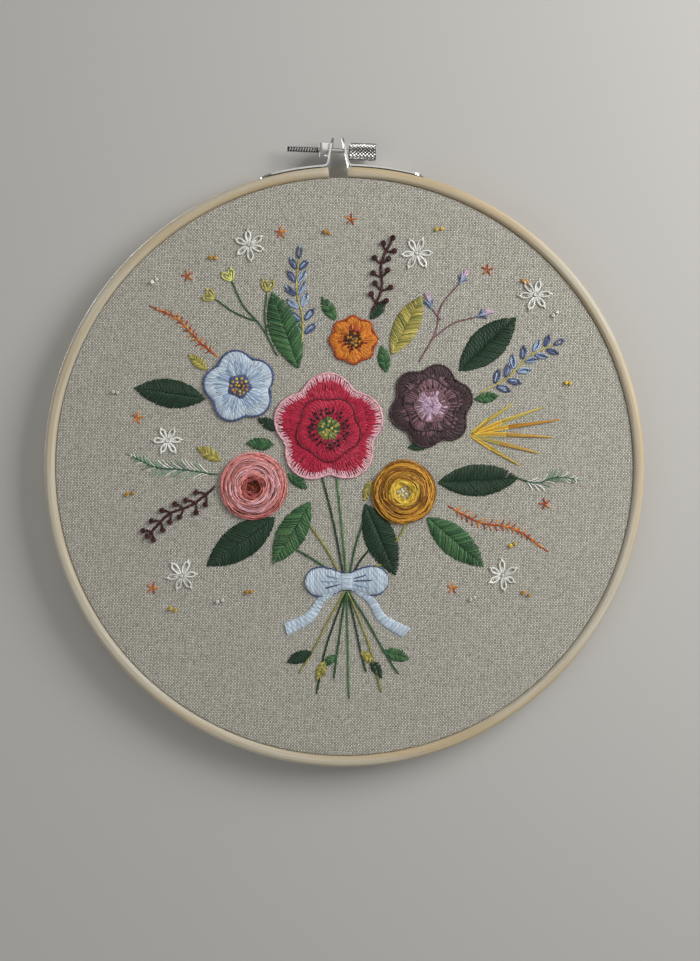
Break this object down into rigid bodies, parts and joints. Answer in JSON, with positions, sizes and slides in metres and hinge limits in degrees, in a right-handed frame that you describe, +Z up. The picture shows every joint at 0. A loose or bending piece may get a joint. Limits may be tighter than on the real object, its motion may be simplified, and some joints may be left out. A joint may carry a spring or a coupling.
{
  "type": "embroidered cloth in a wooden embroidery hoop",
  "caption": "Round linen with a stitched bunch of flowers, stretched in a split wooden hoop with a thumbscrew clamp, hung flat on a wall.",
  "frame": {"origin": "on the wall plane, at the underside of the clamp screw midway between the ears, where a nail carries the hoop", "axes": "+Z up, +Y into the wall along the hoop's own axis, +X to the right seen from the front; the cloth faces -Y"},
  "size_m": [0.204, 0.0117, 0.2148],
  "materials": {
    "ring_wood": "smooth pale beech with a fine grain, rounded and lightly sanded",
    "held_wood": "plain pale beech, unfinished",
    "linen": "greige plain weave linen, matt, stretched taut",
    "nickel": "nickel plated steel, knurled on the screw head",
    "thread_crimson": "stranded cotton, soft sheen",
    "thread_coral": "stranded cotton, soft sheen",
    "thread_gold": "stranded cotton, soft sheen",
    "thread_plum": "stranded cotton, soft sheen",
    "thread_ice": "stranded cotton, soft sheen",
    "thread_orange": "stranded cotton, soft sheen",
    "thread_bottle": "stranded cotton, soft sheen",
    "thread_green": "stranded cotton, soft sheen",
    "thread_olive": "stranded cotton, soft sheen",
    "thread_white": "stranded cotton, soft sheen",
    "thread_slate": "stranded cotton, soft sheen",
    "thread_berry": "stranded cotton, soft sheen"
  },
  "bodies": {
    "hoop": {"outer_ring": "ring_wood", "inner_ring": "held_wood", "cloth": "linen", "bracket_right": "nickel", "bracket_left": "nickel", "nut": "nickel", "poppy": "thread_crimson", "rose_coral": "thread_coral", "rose_gold": "thread_gold", "anemone": "thread_plum", "blue_flower": "thread_ice", "marigold": "thread_orange", "leaf_west": "thread_bottle", "leaf_southwest": "thread_green", "leaf_south": "thread_bottle", "leaf_southeast": "thread_green", "leaf_east": "thread_bottle", "leaf_northeast": "thread_bottle", "leaf_north": "thread_olive", "leaf_northwest": "thread_green", "leaf_far_west": "thread_bottle", "bow": "thread_ice"},
    "screw": {"thumbscrew": "nickel"}
  },
  "joints": [
    {"name": "screw_turn", "type": "hinge", "parent": "hoop", "child": "screw", "pos_m": [0, -0.005, 0.0008], "axis": [0.9981, 0, -0.061], "continuous": true}
  ]
}
